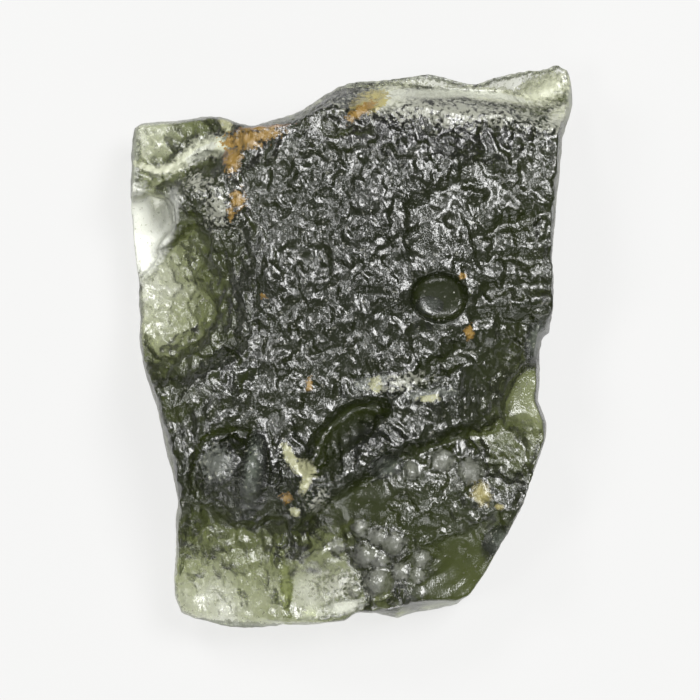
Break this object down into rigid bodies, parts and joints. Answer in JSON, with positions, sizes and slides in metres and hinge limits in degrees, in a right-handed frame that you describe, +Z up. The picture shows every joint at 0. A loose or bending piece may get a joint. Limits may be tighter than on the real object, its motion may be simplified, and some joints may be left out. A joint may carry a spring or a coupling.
{
  "type": "moldavite",
  "caption": "Rough moldavite: a flat broken slab of dark green natural impact glass with an etched, pitted face, lying on its underside.",
  "frame": {"origin": "centre of the bounding box in plan, at the level of the surface on which the stone lies", "axes": "+Z up, away from the surface; +Y along the stone, towards the edge with the pale flange; +X across it"},
  "size_m": [0.028, 0.0354, 0.01],
  "materials": {
    "tektite_glass": "etched, pitted, glossy bottle-green glass, pale where it is thin"
  },
  "bodies": {
    "root": {"moldavite": "tektite_glass"}
  },
  "joints": []
}
